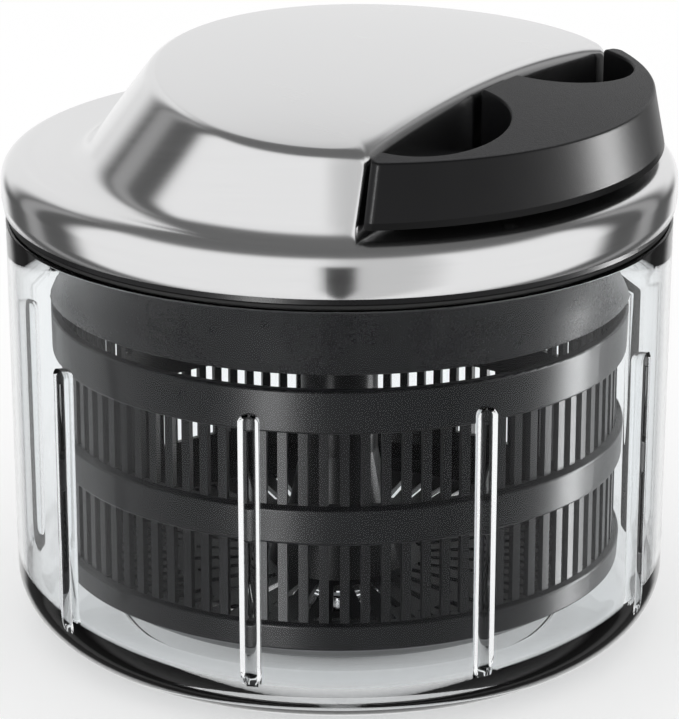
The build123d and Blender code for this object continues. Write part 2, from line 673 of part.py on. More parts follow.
# ---- handle -------------------------------------------------------------------------------------
handle_drop = 0.6             # the grip's top lies this far under the crown's surface
handle_slope = (handle_bottom_radius - handle_top_radius) / (flank_top_z - handle_bottom_z)
handle_height = 40.0
handle_corner = 3.0
handle_top_round = 1.4
hollow_top_z = 193.0
lid_top_z = 214.0
plate_top_z = handle_bottom_z + handle_plate
handle_screw_places = [(94.6, 46), (94.6, -46), (100, 0)]
handle_screw_radius = 1.3
handle_screw_boss = 3.4
handle_screw_length = 9.0     # above the plate
handle_screw_head = (2.5, 1.1)
screw_sink = (2.8, 1.2)
cord_hole_radius = cord_radius + 0.2
scoop_centres = [(recess_x - 0.5, side * scoop_centre_y) for side in (1, -1)]


def crescent():
    # the handle's whole outer form: concentric with the rim outside, flat against the recess
    with BuildPart() as form:
        with Locations((0, 0, handle_bottom_z)):
            Cone(handle_bottom_radius, handle_bottom_radius - handle_slope * handle_height, handle_height,
                 align=(Align.CENTER, Align.CENTER, Align.MIN))
        split(bisect_by=Plane((handle_x, 0, 0), z_dir=(1, 0, 0)), keep=Keep.TOP)
        back_face = form.faces().sort_by(Axis.X)[0]
        fillet(back_face.edges().sort_by(Axis.Y)[0], radius=handle_corner)
        back_face = form.faces().sort_by(Axis.X)[0]
        fillet(back_face.edges().sort_by(Axis.Y)[-1], radius=handle_corner)
        add(under_crown(handle_drop), mode=Mode.INTERSECT)
        fillet(form.faces().sort_by(Axis.Z)[-1].edges(), radius=handle_top_round)
    return form.part


handle_form = crescent()
hollow_radius = handle_bottom_radius - handle_slope * (hollow_top_z - handle_bottom_z) - grip_wall
with BuildPart() as handle_grip:
    add(handle_form)
    split(bisect_by=Plane.XY.offset(plate_top_z), keep=Keep.TOP)
    with BuildSketch(Plane.XY.offset(plate_top_z)):
        Circle(hollow_radius)
        with Locations((handle_x + grip_wall, 0)):
            Rectangle(hollow_radius, 2 * hollow_radius, align=(Align.MIN, Align.CENTER), mode=Mode.INTERSECT)
        with Locations(scoop_centres):
            Ellipse(scoop_half_x + grip_wall, scoop_half_y + grip_wall, mode=Mode.SUBTRACT)
        with Locations(handle_screw_places):
            Circle(handle_screw_boss, mode=Mode.SUBTRACT)
    extrude(amount=hollow_top_z - plate_top_z, mode=Mode.SUBTRACT)
    with BuildSketch(Plane.XY.offset(scoop_floor_z)):
        with Locations(scoop_centres):
            Ellipse(scoop_half_x, scoop_half_y)
    extrude(amount=handle_height, mode=Mode.SUBTRACT)
    # the upper edges of the two scoops
    for x, y in scoop_centres:
        nearest = handle_grip.edges().filter_by_position(Axis.Z, hollow_top_z, lid_top_z)
        scoop_edge = nearest.sort_by_distance((x + scoop_half_x, y, hollow_top_z + 6.0))[0]
        fillet(scoop_edge, radius=scoop_round)
    with Locations([(x, y, plate_top_z) for x, y in handle_screw_places]):
        Cylinder(handle_screw_radius, 2 * (handle_screw_length + 1), mode=Mode.SUBTRACT)
    with Locations(Plane((handle_x, 0, cord_z), z_dir=(1, 0, 0))):
        Cylinder(cord_hole_radius, 3 * grip_wall, mode=Mode.SUBTRACT)
save(handle_grip.part, "handle_grip")

with BuildPart() as handle_base:
    add(handle_form)
    split(bisect_by=Plane.XY.offset(plate_top_z), keep=Keep.BOTTOM)
    with Locations([(x, y, plate_top_z) for x, y in handle_screw_places]):
        Cylinder(handle_screw_radius, 4 * handle_plate, mode=Mode.SUBTRACT)
    with Locations([(x, y, handle_bottom_z) for x, y in handle_screw_places]):
        Cylinder(*screw_sink, align=(Align.CENTER, Align.CENTER, Align.MIN), mode=Mode.SUBTRACT)
save(handle_base.part, "handle_base")
save(screws(handle_screw_places, handle_bottom_z + 0.1, plate_top_z + handle_screw_length, *handle_screw_head,
            handle_screw_radius), "handle_screws")
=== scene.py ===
# Looks for the pull-cord salad spinner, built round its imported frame.
# Metres, +Z up, the origin is the centre of the bowl's underside and the handle pulls along +X.
from math import asin, atan2, cos, hypot, pi, radians, sin, sqrt

import bmesh
import bpy
from mathutils import Matrix, Vector


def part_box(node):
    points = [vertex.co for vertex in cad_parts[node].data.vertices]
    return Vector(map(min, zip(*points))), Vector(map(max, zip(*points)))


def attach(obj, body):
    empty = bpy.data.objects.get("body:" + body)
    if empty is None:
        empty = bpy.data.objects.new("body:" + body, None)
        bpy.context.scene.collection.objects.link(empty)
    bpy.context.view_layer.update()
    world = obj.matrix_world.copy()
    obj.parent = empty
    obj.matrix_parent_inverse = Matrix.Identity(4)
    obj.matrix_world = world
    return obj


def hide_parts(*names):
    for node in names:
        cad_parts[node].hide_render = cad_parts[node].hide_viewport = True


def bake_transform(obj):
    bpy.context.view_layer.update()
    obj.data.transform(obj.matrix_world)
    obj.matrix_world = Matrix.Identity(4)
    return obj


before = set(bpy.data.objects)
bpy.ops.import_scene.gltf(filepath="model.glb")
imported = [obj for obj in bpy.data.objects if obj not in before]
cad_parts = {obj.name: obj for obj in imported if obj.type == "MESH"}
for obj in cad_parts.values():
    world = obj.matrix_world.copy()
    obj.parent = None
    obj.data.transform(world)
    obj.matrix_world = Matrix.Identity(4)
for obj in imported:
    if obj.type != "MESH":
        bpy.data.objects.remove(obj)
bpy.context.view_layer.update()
mm = 0.001
print("frame: loaded", len(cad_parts), "nodes")

# camera, at the angle a buyer sees the spinner from
cameraSet = {"place": Vector((0.6082, -1.0123, 0.5040)), "aim": Vector((0, 0, 0.0946)), "lens": 172.65}
cameraData = bpy.data.cameras.new("studioCamera")
cameraData.lens = cameraSet["lens"]
camera = bpy.data.objects.new("studioCamera", cameraData)
camera.location = cameraSet["place"]
camera.rotation_euler = (cameraSet["aim"] - cameraSet["place"]).to_track_quat("-Z", "Y").to_euler()
bpy.context.scene.collection.objects.link(camera)
bpy.context.scene.camera = camera
bpy.context.scene.view_settings.view_transform = "Standard"
print("camera: placed")


# ---- shader maths: a wire is a node's output, and arithmetic on wires adds Math nodes
class Wire:
    def __init__(self, tree, socket=None):
        self.tree = tree
        self.socket = socket

    def node(self, kind, settings=None, sockets=None, output=0):
        # any node: settings first, then values or wires for its sockets, by name or number
        made = self.tree.nodes.new(kind)
        for name, value in (settings or {}).items():
            setattr(made, name, value)
        for name, value in (sockets or {}).items():
            if isinstance(value, Wire):
                self.tree.links.new(value.socket, made.inputs[name])
            else:
                made.inputs[name].default_value = value
        return Wire(self.tree, made.outputs[output]) if made.outputs else made

    def out(self, number):
        return Wire(self.tree, self.socket.node.outputs[number])

    def maths(self, operation, first, second=0.0):
        return self.node("ShaderNodeMath", {"operation": operation}, {0: first, 1: second})

    def __add__(self, other):
        return self.maths("ADD", self, other)

    def __radd__(self, other):
        return self.maths("ADD", other, self)

    def __sub__(self, other):
        return self.maths("SUBTRACT", self, other)

    def __rsub__(self, other):
        return self.maths("SUBTRACT", other, self)

    def __mul__(self, other):
        return self.maths("MULTIPLY", self, other)

    def __rmul__(self, other):
        return self.maths("MULTIPLY", other, self)

    def __truediv__(self, other):
        return self.maths("DIVIDE", self, other)

    def __rtruediv__(self, other):
        return self.maths("DIVIDE", other, self)

    def fade(self, low, high):
        # 0 below low, 1 above high, smooth between
        return self.node("ShaderNodeMapRange", {"interpolation_type": "SMOOTHSTEP"},
                         {"Value": self, "From Min": low, "From Max": high})


def newFinish(name):
    material = bpy.data.materials.new(name)
    material.use_nodes = True
    material.node_tree.nodes.clear()
    return material, Wire(material.node_tree)


def lathePlaces(wire):
    # object coordinates whole and split, and the distance from the upright axis
    places = wire.node("ShaderNodeTexCoord", output=3)
    x = wire.node("ShaderNodeSeparateXYZ", None, {0: places})
    y, z = x.out(1), x.out(2)
    radius = wire.maths("SQRT", x * x + y * y)
    return places, x, y, z, radius


def noise(wire, vector, scale, detail=2.0, roughness=0.5):
    return wire.node("ShaderNodeTexNoise", None,
                     {"Vector": vector, "Scale": scale, "Detail": detail, "Roughness": roughness})


def stretched(wire, x, y, z):
    return wire.node("ShaderNodeCombineXYZ", None, {0: x, 1: y, 2: z})


def blendColour(wire, share, first, second):
    return wire.node("ShaderNodeMix", {"data_type": "RGBA"},
                     {0: share, 6: (*first, 1), 7: (*second, 1)}, output=2)


def bump(wire, height, strength, distance):
    return wire.node("ShaderNodeBump", None,
                     {"Strength": strength, "Distance": distance, "Height": height})


def closeFinish(wire, sockets):
    shader = wire.node("ShaderNodeBsdfPrincipled", None, sockets)
    wire.node("ShaderNodeOutputMaterial", None, {"Surface": shader})


# ---- finishes
steelFinish = {
    "dark": (0.77, 0.77, 0.775),
    "light": (0.84, 0.84, 0.845),
    "roughness": 0.17,
    "grain": 1500.0,
}


def brushedSteel():
    # sheet steel brushed round the lid: fine lines that follow the rim, smeared across by the brushing
    material, wire = newFinish("brushedSteel")
    places, x, y, z, radius = lathePlaces(wire)
    along = (radius - z) * steelFinish["grain"]
    fine = noise(wire, stretched(wire, x * 28.0, y * 28.0, along), 1.0, 4.0, 0.6)
    broad = noise(wire, stretched(wire, x * 14.0, y * 14.0, along * 0.2), 1.0, 2.0)
    cloud = noise(wire, places, 18.0, 3.0)
    tint = blendColour(wire, fine * 0.6 + broad * 0.4, steelFinish["dark"], steelFinish["light"])
    closeFinish(wire, {
        "Base Color": tint,
        "Metallic": 1.0,
        "Roughness": fine * 0.06 + broad * 0.04 + cloud * 0.03 + (steelFinish["roughness"] - 0.065),
        "Anisotropic": 0.85,
        "Anisotropic Rotation": 0.25,
        "Normal": bump(wire, fine * 0.7 + broad * 0.3, 0.08, 0.00006),
    })
    return material


def satinCrown():
    # the lid's top: brushed straight across and softened, with faint cloudy handling marks
    material, wire = newFinish("satinCrown")
    places, x, y, z, radius = lathePlaces(wire)
    lines = noise(wire, stretched(wire, x * 30.0, y * 1400.0, z * 30.0), 1.0, 3.0)
    cloud = noise(wire, places, 16.0, 3.0)
    tint = blendColour(wire, lines * 0.5 + cloud * 0.5, steelFinish["dark"], steelFinish["light"])
    closeFinish(wire, {
        "Base Color": tint,
        "Metallic": 1.0,
        "Roughness": lines * 0.05 + cloud * 0.06 + (steelFinish["roughness"] + 0.03),
        "Normal": bump(wire, lines, 0.05, 0.00006),
    })
    return material


def clearPlastic():
    # clear moulded bowl, faintly cool, with hairline scuffs and a little flow waviness
    material, wire = newFinish("clearPlastic")
    places = wire.node("ShaderNodeTexCoord", output=3)
    flow = noise(wire, places, 22.0, 1.0)
    scuff = noise(wire, wire.node("ShaderNodeVectorMath", {"operation": "MULTIPLY"},
                                  {0: places, 1: (900.0, 900.0, 60.0)}), 1.0, 3.0)
    glass = wire.node("ShaderNodeBsdfPrincipled", None, {
        "Base Color": blendColour(wire, flow, (0.955, 0.975, 0.985), (0.975, 0.985, 0.99)),
        "Roughness": scuff.fade(0.66, 0.85) * 0.006 + 0.002,
        "IOR": 1.52,
        "Specular Tint": (0.07, 0.07, 0.075, 1),
        "Transmission Weight": 1.0,
        "Normal": bump(wire, flow, 0.006, 0.0004),
    })
    clear = wire.node("ShaderNodeBsdfTransparent", None, {"Color": (0.86, 0.88, 0.89, 1)})
    shadow = wire.node("ShaderNodeLightPath", output=1)
    surface = wire.node("ShaderNodeMixShader", None, {0: shadow, 1: glass, 2: clear})
    wire.node("ShaderNodeOutputMaterial", None, {"Surface": surface})
    return material


def mouldedPlastic(name, dark, light, roughness, grain, depth, specular=0.5):
    # opaque moulding: a fine spark-eroded skin, faint flow clouds and rubbed patches
    material, wire = newFinish(name)
    places = wire.node("ShaderNodeTexCoord", output=3)
    skin = noise(wire, places, grain, 2.0, 0.6)
    cloud = noise(wire, places, 35.0, 3.0)
    rubbed = noise(wire, places, 120.0, 4.0).fade(0.55, 0.75)
    closeFinish(wire, {
        "Base Color": blendColour(wire, cloud * 0.7 + skin * 0.3, dark, light),
        "Roughness": cloud * 0.08 + skin * 0.05 + (roughness - 0.065) - rubbed * 0.015,
        "Specular IOR Level": specular,
        "Normal": bump(wire, skin, depth, 0.0001),
    })
    return material


def grainedGripPaintedTopLight():
    # the handle: leathery fine grain on top, smoother satin on its sides, and its upward faces painted lighter
    # as painted overhead light
    material, wire = newFinish("grainedGripPaintedTopLight")
    places = wire.node("ShaderNodeTexCoord", output=3)
    facing = wire.node("ShaderNodeSeparateXYZ", None, {0: places.out(1)}).out(2)
    top = facing.fade(0.75, 0.93)
    pebble = wire.node("ShaderNodeTexVoronoi", {"feature": "F1"}, {"Vector": places, "Scale": 2300.0})
    speck = noise(wire, places, 1500.0, 3.0, 0.65)
    cloud = noise(wire, places, 40.0, 3.0)
    height = (pebble * 0.6 + speck * 0.8) * (top * 0.9 + 0.1)
    closeFinish(wire, {
        # painted light: faces that point up get a lighter grey colour over the real grain, standing in for
        # overhead light
        "Base Color": blendColour(wire, cloud * 0.04 + top * (speck * 0.8 + 0.2), (0.003, 0.003, 0.0033),
                                  (0.050, 0.050, 0.052)),
        "Roughness": top * 0.20 + cloud * 0.06 + 0.30,
        "Specular IOR Level": 0.16,
        "Normal": bump(wire, height, 0.6, 0.0003),
    })
    return material


def turnedSteel(name, dark, light, roughness):
    # plain steel with fine machining lines
    material, wire = newFinish(name)
    places, x, y, z, radius = lathePlaces(wire)
    lines = noise(wire, stretched(wire, x * 60.0, y * 60.0, (radius + z) * 3000.0), 1.0, 3.0)
    cloud = noise(wire, places, 90.0, 3.0)
    closeFinish(wire, {
        "Base Color": blendColour(wire, lines * 0.5 + cloud * 0.5, dark, light),
        "Metallic": 1.0,
        "Roughness": lines * 0.12 + cloud * 0.1 + roughness - 0.11,
        "Normal": bump(wire, lines, 0.12, 0.00005),
    })
    return material


def braidedCord():
    # a round braid: two sets of slanting strands crossing over each other, with painted shade darkening the
    # grooves between strands
    material, wire = newFinish("braidedCord")
    places = wire.node("ShaderNodeTexCoord", output=3)
    x = wire.node("ShaderNodeSeparateXYZ", None, {0: places})
    around = wire.maths("ARCTAN2", x.out(1), x.out(2) - cordShape["height"])
    turns = around * (4.0 / pi)
    length = x * 900.0
    left = wire.maths("SINE", (length + turns) * pi)
    right = wire.maths("SINE", (length - turns) * pi)
    weave = wire.maths("MAXIMUM", left, right) * 0.5 + 0.5
    fibre = noise(wire, places, 5000.0, 2.0)
    reliefAndGrooveShade = weave * 0.8 + fibre * 0.2
    closeFinish(wire, {
        # painted shade: the colour follows the strands' height, dark in the grooves and lighter on the crests
        "Base Color": blendColour(wire, reliefAndGrooveShade, (0.012, 0.012, 0.013), (0.075, 0.075, 0.08)),
        "Roughness": fibre * 0.15 + 0.6,
        "Normal": bump(wire, reliefAndGrooveShade, 0.6, 0.0003),
    })
    return material


# ---- mesh helpers
def finishPiece(name, bm, materials, sharpAngle=35):
    mesh = bpy.data.meshes.new(name)
    bm.to_mesh(mesh)
    bm.free()
    for material in materials:
        mesh.materials.append(material)
    mesh.shade_smooth()
    mesh.set_sharp_from_angle(angle=radians(sharpAngle))
    piece = bpy.data.objects.new(name, mesh)
    bpy.context.scene.collection.objects.link(piece)
    return piece


def applyModifiers(piece):
    graph = bpy.context.evaluated_depsgraph_get()
    made = bpy.data.meshes.new_from_object(piece.evaluated_get(graph))
    piece.modifiers.clear()
    piece.data = made


def strand(bm, points):
    # a chain of edges through points, ready to spin
    verts = [bm.verts.new(point) for point in points]
    edges = [bm.edges.new(pair) for pair in zip(verts, verts[1:])]
    return verts + edges


def arc(centre, radius, start, end, steps):
    # points in the XZ plane, from start to end in degrees
    return [Vector((centre[0] + radius * cos(radians(start + (end - start) * i / steps)), 0,
                    centre[1] + radius * sin(radians(start + (end - start) * i / steps))))
            for i in range(steps + 1)]


def curveOver(first, corner, last, steps):
    # a rounded corner: leaves first towards the corner and arrives at last, without its end points
    points = []
    for i in range(1, steps):
        t = i / steps
        points.append(first * (1 - t) ** 2 + corner * (2 * t * (1 - t)) + last * t ** 2)
    return points


# ---- bowl
bowlLow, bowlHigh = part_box("bowl")
bowlShape = {
    "outer": bowlHigh.x,
    "top": bowlHigh.z,
    "draft": 0.6 * mm,
    "wall": 3.0 * mm,
    "floor": 7.0 * mm,
    "corner": 22.0 * mm,
    "footInner": 80.0 * mm,
    "footHollow": 1.5 * mm,
    "bossRadius": 14.0 * mm,
    "bossTop": 10.0 * mm,
    "bossFoot": 1.5 * mm,         # how far the boss flares where it meets the floor
    "bossEdge": 0.5 * mm,
    "pinRadius": 3.0 * mm,
    "pinSeat": 4.5 * mm,
    "lip": 0.9 * mm,
    "ribs": 9,
    "ribFirst": 6.0,
    "ribRadius": 3.4 * mm,
    "ribLow": 20.0 * mm,
    "ribHigh": 111.0 * mm,
    "ribSeam": 0.3 * mm,          # a rib stops where it would stand less than this from its own edge
    "ribDepth": 1.0 * mm,         # how deep each rib's own axis lies in the wall
    "ribArcSpare": 1.06,          # the finely divided arc, against the rib's width
    "ribSteps": 26,
    "plainSteps": 38,
}


def bowlOutline():
    # the moulding's section, and the numbers of its first and last points on the inside of the wall
    s = bowlShape
    foot = s["outer"] - s["draft"]
    inner = foot - s["wall"]
    innerCorner = s["corner"] - s["wall"]
    lip = s["lip"]
    boss = s["bossRadius"]
    slope = s["draft"] / (s["top"] - s["corner"])
    points = [Vector((0, 0, s["footHollow"])), Vector((s["footInner"], 0, s["footHollow"]))]
    points += curveOver(points[-1], Vector((s["footInner"] + s["footHollow"] / 2, 0, 0)),
                        Vector((s["footInner"] + 2 * s["footHollow"], 0, 0)), 5)
    points += arc((foot - s["corner"], s["corner"]), s["corner"], -90, 0, 20)
    side = s["top"] - s["corner"] - lip
    points += [Vector((foot + s["draft"] * i / 12, 0, s["corner"] + side * i / 12)) for i in range(1, 12)]
    points += arc((s["outer"] - lip, s["top"] - lip), lip, 0, 90, 5)
    points += arc((s["outer"] - s["wall"] + lip, s["top"] - lip), lip, 90, 180, 5)
    start = len(points)
    rows = [s["top"] - 12 * mm, s["top"] - 25 * mm]
    rows += [s["ribHigh"] + s["ribRadius"] * cos(radians(angle)) for angle in range(0, 91, 9)]
    rows += [s["ribHigh"] - (s["ribHigh"] - s["corner"] - 6 * mm) * i / 8 for i in range(1, 9)]
    points += [Vector((inner + slope * (row - s["corner"]), 0, row)) for row in rows]
    points += arc((inner - innerCorner, s["floor"] + innerCorner), innerCorner, 0, -90, 24)
    end = len(points)
    points += [Vector((boss + s["bossFoot"], 0, s["floor"])), Vector((boss, 0, s["floor"] + 1.2 * mm)),
               Vector((boss, 0, s["bossTop"] - s["bossEdge"])),
               Vector((boss - s["bossEdge"], 0, s["bossTop"])),
               Vector((s["pinRadius"], 0, s["bossTop"])), Vector((s["pinRadius"], 0, s["pinSeat"])),
               Vector((0, 0, s["pinSeat"]))]
    return points, start, end


def ribFront(offset, z, axis):
    # distance from the bowl's axis to a rib's inner face, or None beside and beyond the rib
    s = bowlShape
    past = max(z - s["ribHigh"], s["ribLow"] - z, 0)
    left = s["ribRadius"] ** 2 - past ** 2 - (axis * sin(offset)) ** 2
    return axis * cos(offset) - sqrt(left) if left > s["ribSeam"] ** 2 else None


def makeBowl():
    s = bowlShape
    axis = s["outer"] - s["draft"] - s["wall"] - s["ribDepth"]
    ribArc = 2 * asin(s["ribRadius"] * s["ribArcSpare"] / axis)
    plainArc = 2 * pi / s["ribs"] - ribArc
    bm = bmesh.new()
    onWall = bm.verts.layers.int.new("onWall")
    points, start, end = bowlOutline()
    ring = strand(bm, points)
    for vert in ring[start:end]:
        vert[onWall] = 1
    turn = Matrix.Rotation(radians(s["ribFirst"]) - ribArc / 2, 3, "Z")
    bmesh.ops.rotate(bm, verts=bm.verts, cent=(0, 0, 0), matrix=turn)
    for rib in range(s["ribs"]):
        for sweep, steps in ((ribArc, s["ribSteps"]), (plainArc, s["plainSteps"])):
            spun = bmesh.ops.spin(bm, geom=ring, axis=(0, 0, 1), cent=(0, 0, 0), angle=sweep, steps=steps)
            ring = spun["geom_last"]
    bmesh.ops.remove_doubles(bm, verts=bm.verts, dist=0.002 * mm)
    step = 2 * pi / s["ribs"]
    for vert in bm.verts:
        if not vert[onWall]:
            continue
        reach = hypot(vert.co.x, vert.co.y)
        turned = atan2(vert.co.y, vert.co.x) - radians(s["ribFirst"])
        front = ribFront((turned + step / 2) % step - step / 2, vert.co.z, axis)
        if front is not None and front < reach:
            vert.co.x *= front / reach
            vert.co.y *= front / reach
    bmesh.ops.recalc_face_normals(bm, faces=bm.faces)
    piece = finishPiece("clearBowl", bm, [clearPlastic()], 40)
    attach(piece, "bowl")
    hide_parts("bowl")


makeBowl()
print("bowl: made")


# ---- steel lid
lidLow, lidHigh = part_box("steel_lid")
lidShape = {
    "rim": lidHigh.x,
    "rimLow": lidLow.z,
    "rimStraight": 166.0 * mm,
    "rimCorner": 8.0 * mm,
    "rimEdge": 0.25 * mm,         # the rounded lower edge: its height, and its corners' places in from the rim
    "rimEdgeFaces": (0.62 * mm, 1.3 * mm),
    "rimEdgeTop": 4.0 * mm,
    "shoulder": 92.0 * mm,        # the flat ring starts to fall away outside this radius
    "shoulderFall": 2.0 * mm,
    "shoulderTop": 174.0 * mm,
    # the raised housing stands off the axis, towards the handle, and its top leans down to the handle
    "foot": {"x": 25.6 * mm, "z": 176.0 * mm, "radius": 110.7 * mm},
    "crown": {"x": 38.5 * mm, "axisHeight": 205.2 * mm, "slope": 0.097,
              "radius": 101.5 * mm, "rise": 9.0 * mm},
    "below": 26.0 * mm,           # how far its side is drawn on past the foot and past the crown
    "beyond": 14.0 * mm,
    "flankFoot": 113.0 * mm,      # its side is kept inside these two radii about the lid's axis
    "flankTop": 105.3 * mm,
    "flankTopHeight": 199.9 * mm,
    "recess": 62.0 * mm,
    "sheet": 1.0 * mm,
    "footRound": 5.0 * mm,
    "edgeRound": 3.0 * mm,
    "crownLow": 190.0 * mm,
    "cutRound": 5.0 * mm,         # the softer edge over the recess
    "cornerRound": 2.6 * mm,
    "trimRound": 10.0 * mm,
    "middle": -10.0 * mm,         # the outlines meet here, on the crown
    "crownGuess": 205.0 * mm,
    "recessCorners": (66.5, 293.5),
    "cornerReach": 7.0,           # outlines are close together this many degrees to each side of a corner
    "turnSteps": (0.25, 1.25),
    "ringRows": 20,
    "footRows": 9,
    "sideRows": 14,
    "edgeRows": 9,
    "crownRows": 22,
}


def leanHousing():
    # the housing's side as a slanted cone between two circles, and the ball that its crown is cut from
    s = lidShape
    foot, crown = s["foot"], s["crown"]
    normal = Vector((crown["slope"], 0, 1)).normalized()
    centre = Vector((crown["x"], 0, crown["axisHeight"] - crown["slope"] * crown["x"]))
    climb = centre.z - foot["z"]
    drift = (crown["x"] - foot["x"]) / climb
    narrowing = (foot["radius"] - crown["radius"]) / climb
    high = centre + normal * s["beyond"] + Vector((drift * s["beyond"], 0, 0))
    ball = (crown["radius"] ** 2 + crown["rise"] ** 2) / (2 * crown["rise"])
    return {
        "normal": normal,
        "low": Vector((foot["x"] - drift * s["below"], 0, foot["z"] - s["below"])),
        "lowRadius": foot["radius"] + narrowing * s["below"],
        "high": high,
        "highRadius": crown["radius"] - narrowing * s["beyond"],
        "ballRadius": ball,
        "ballMiddle": centre + normal * (crown["rise"] - ball),
        "flankFall": (s["flankFoot"] - s["flankTop"]) / (s["flankTopHeight"] - s["shoulderTop"]),
    }


lidLean = leanHousing()


def softMin(a, b, reach):
    # the smaller of a and b, with the crossover rounded over reach
    share = max(reach - abs(a - b), 0) / reach
    return min(a, b) - share * share * reach / 4


def rimHeight(radius):
    s = lidShape
    roundStart = s["rim"] - s["rimCorner"]
    top = s["rimStraight"] + s["rimCorner"]
    if radius <= s["shoulder"]:
        return top + s["shoulderFall"]
    if radius <= roundStart:
        return top + s["shoulderFall"] * (roundStart - radius) / (roundStart - s["shoulder"])
    return s["rimStraight"] + sqrt(max(s["rimCorner"] ** 2 - (radius - roundStart) ** 2, 0))


def crownHeight(x, y):
    middle = lidLean["ballMiddle"]
    return middle.z + sqrt(lidLean["ballRadius"] ** 2 - (x - middle.x) ** 2 - (y - middle.y) ** 2)


def flankPoint(turn, z, inset=0.0):
    # a point of the housing's side: the slanted cone, held inside the rim and cut flat at the recess
    s, lean = lidShape, lidLean
    ahead, across = cos(turn), sin(turn)
    start = lean["low"] + Vector((ahead, across, 0)) * lean["lowRadius"]
    tilted = Vector((ahead * lean["normal"].z, across, -ahead * lean["normal"].x))
    end = lean["high"] + tilted * lean["highRadius"]
    point = start.lerp(end, (z - start.z) / (end.z - start.z))
    reach = hypot(point.x, point.y)
    widest = s["flankFoot"] - lean["flankFall"] * (z - s["shoulderTop"])
    kept = softMin(reach, widest, s["trimRound"]) - inset
    point.x *= kept / reach
    point.y *= kept / reach
    point.x = softMin(point.x, s["recess"] - inset, s["cornerRound"] + 3 * inset)
    return point


def meet(turn, surface, guess, inset=0.0):
    # where the side's line at this turn meets a surface given as height over (x, y)
    point = flankPoint(turn, guess, inset)
    for attempt in range(8):
        point = flankPoint(turn, surface(point.x, point.y), inset)
    return point


def rimRows(start, count):
    # (radius, height) from the flat ring out over the rounded shoulder, closer together where it bends
    s = lidShape
    roundStart = s["rim"] - s["rimCorner"]
    flatStep = 3.5 * mm
    bendStep = radians(6)
    flat = max(roundStart - start, 0) / flatStep
    lean = asin(min(max(start - roundStart, 0) / s["rimCorner"], 1))
    total = flat + (pi / 2 - lean) / bendStep
    rows = []
    for i in range(count + 1):
        step = total * i / count
        if step < flat:
            radius = start + step * flatStep
            rows.append((radius, rimHeight(radius)))
        else:
            angle = lean + (step - flat) * bendStep
            radius = roundStart + s["rimCorner"] * sin(angle)
            rows.append((radius, s["rimStraight"] + s["rimCorner"] * cos(angle)))
    return rows


def lidTurns():
    # turns about the housing's middle, closer together at the two corners of the recess
    s = lidShape
    fine, coarse = s["turnSteps"]
    turns = []
    degree = 0.0
    while degree < 360:
        turns.append(radians(degree))
        nearCorner = min(abs(degree - corner) for corner in s["recessCorners"]) < s["cornerReach"]
        degree += fine if nearCorner else coarse
    return turns


def lidStations():
    # one outline for each turn: rim's lower edge, shoulder, foot, side, crown edge, crown
    s = lidShape
    middle = Vector((s["middle"], 0, crownHeight(s["middle"], 0)))
    rim, low = s["rim"], s["rimLow"]
    faceOut, faceIn = s["rimEdgeFaces"]
    rimEdge = ((rim - faceIn, low + s["rimEdge"]), (rim - s["sheet"], low), (rim - faceOut, low + s["rimEdge"]),
               (rim, low + s["rimEdgeTop"]))
    stations = []
    for turn in lidTurns():
        corner = meet(turn, crownHeight, s["crownGuess"])
        overRecess = min(max((corner.x - s["recess"]) / (3 * mm) + 1, 0), 1)
        edge = s["edgeRound"] + (s["cutRound"] - s["edgeRound"]) * overRecess ** 2
        below = flankPoint(turn, corner.z - edge)
        top = meet(turn, crownHeight, s["crownGuess"], edge)
        foot = meet(turn, lambda x, y: rimHeight(hypot(x, y)), s["shoulderTop"])
        heading = Vector((foot.x, foot.y, 0)).normalized()
        rows = rimRows(hypot(foot.x, foot.y) + s["footRound"], s["ringRows"])
        start = heading * rows[0][0] + Vector((0, 0, rows[0][1]))
        above = flankPoint(turn, foot.z + s["footRound"])
        points = [heading * radius + Vector((0, 0, height))
                  for radius, height in (*rimEdge, *reversed(rows))]
        points += curveOver(start, foot, above, s["footRows"])
        points += [flankPoint(turn, above.z + (below.z - above.z) * k / s["sideRows"])
                   for k in range(s["sideRows"] + 1)]
        points += curveOver(below, corner, top, s["edgeRows"])
        points.append(top)
        for k in range(1, s["crownRows"]):
            share = 1 - k / s["crownRows"]
            x = middle.x + (top.x - middle.x) * share
            y = middle.y + (top.y - middle.y) * share
            points.append(Vector((x, y, crownHeight(x, y))))
        stations.append(points)
    return stations, middle


def skin(bm, stations):
    # a surface over equal outlines: a circle of starting points, extruded outline point by outline point
    station = bm.verts.layers.int.new("station")
    bmesh.ops.create_circle(bm, segments=len(stations), radius=1)
    edges = list(bm.edges)
    for number, vert in enumerate(bm.verts):
        vert[station] = number
        vert.co = stations[number][0]
    for row in range(1, len(stations[0])):
        made = bmesh.ops.extrude_edge_only(bm, edges=edges)["geom"]
        verts = [item for item in made if isinstance(item, bmesh.types.BMVert)]
        for vert in verts:
            vert.co = stations[vert[station]][row]
        fresh = set(verts)
        edges = [item for item in made if isinstance(item, bmesh.types.BMEdge)
                 and item.verts[0] in fresh and item.verts[1] in fresh]
    return edges


def makeLid():
    s = lidShape
    bm = bmesh.new()
    stations, peak = lidStations()
    edges = skin(bm, stations)
    closing = bmesh.ops.extrude_edge_only(bm, edges=edges)["geom"]
    last = [item for item in closing if isinstance(item, bmesh.types.BMVert)]
    bmesh.ops.pointmerge(bm, verts=last, merge_co=peak)
    bmesh.ops.recalc_face_normals(bm, faces=bm.faces)
    for face in bm.faces:
        face.material_index = int(face.normal.z > 0.95 and face.calc_center_median().z > s["crownLow"])
    piece = finishPiece("steelLid", bm, [brushedSteel(), satinCrown()], 50)
    thick = piece.modifiers.new("sheet", "SOLIDIFY")
    thick.thickness = s["sheet"]
    thick.offset = -1
    applyModifiers(piece)
    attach(piece, "lid")
    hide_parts("steel_lid")


makeLid()
print("lid: made")


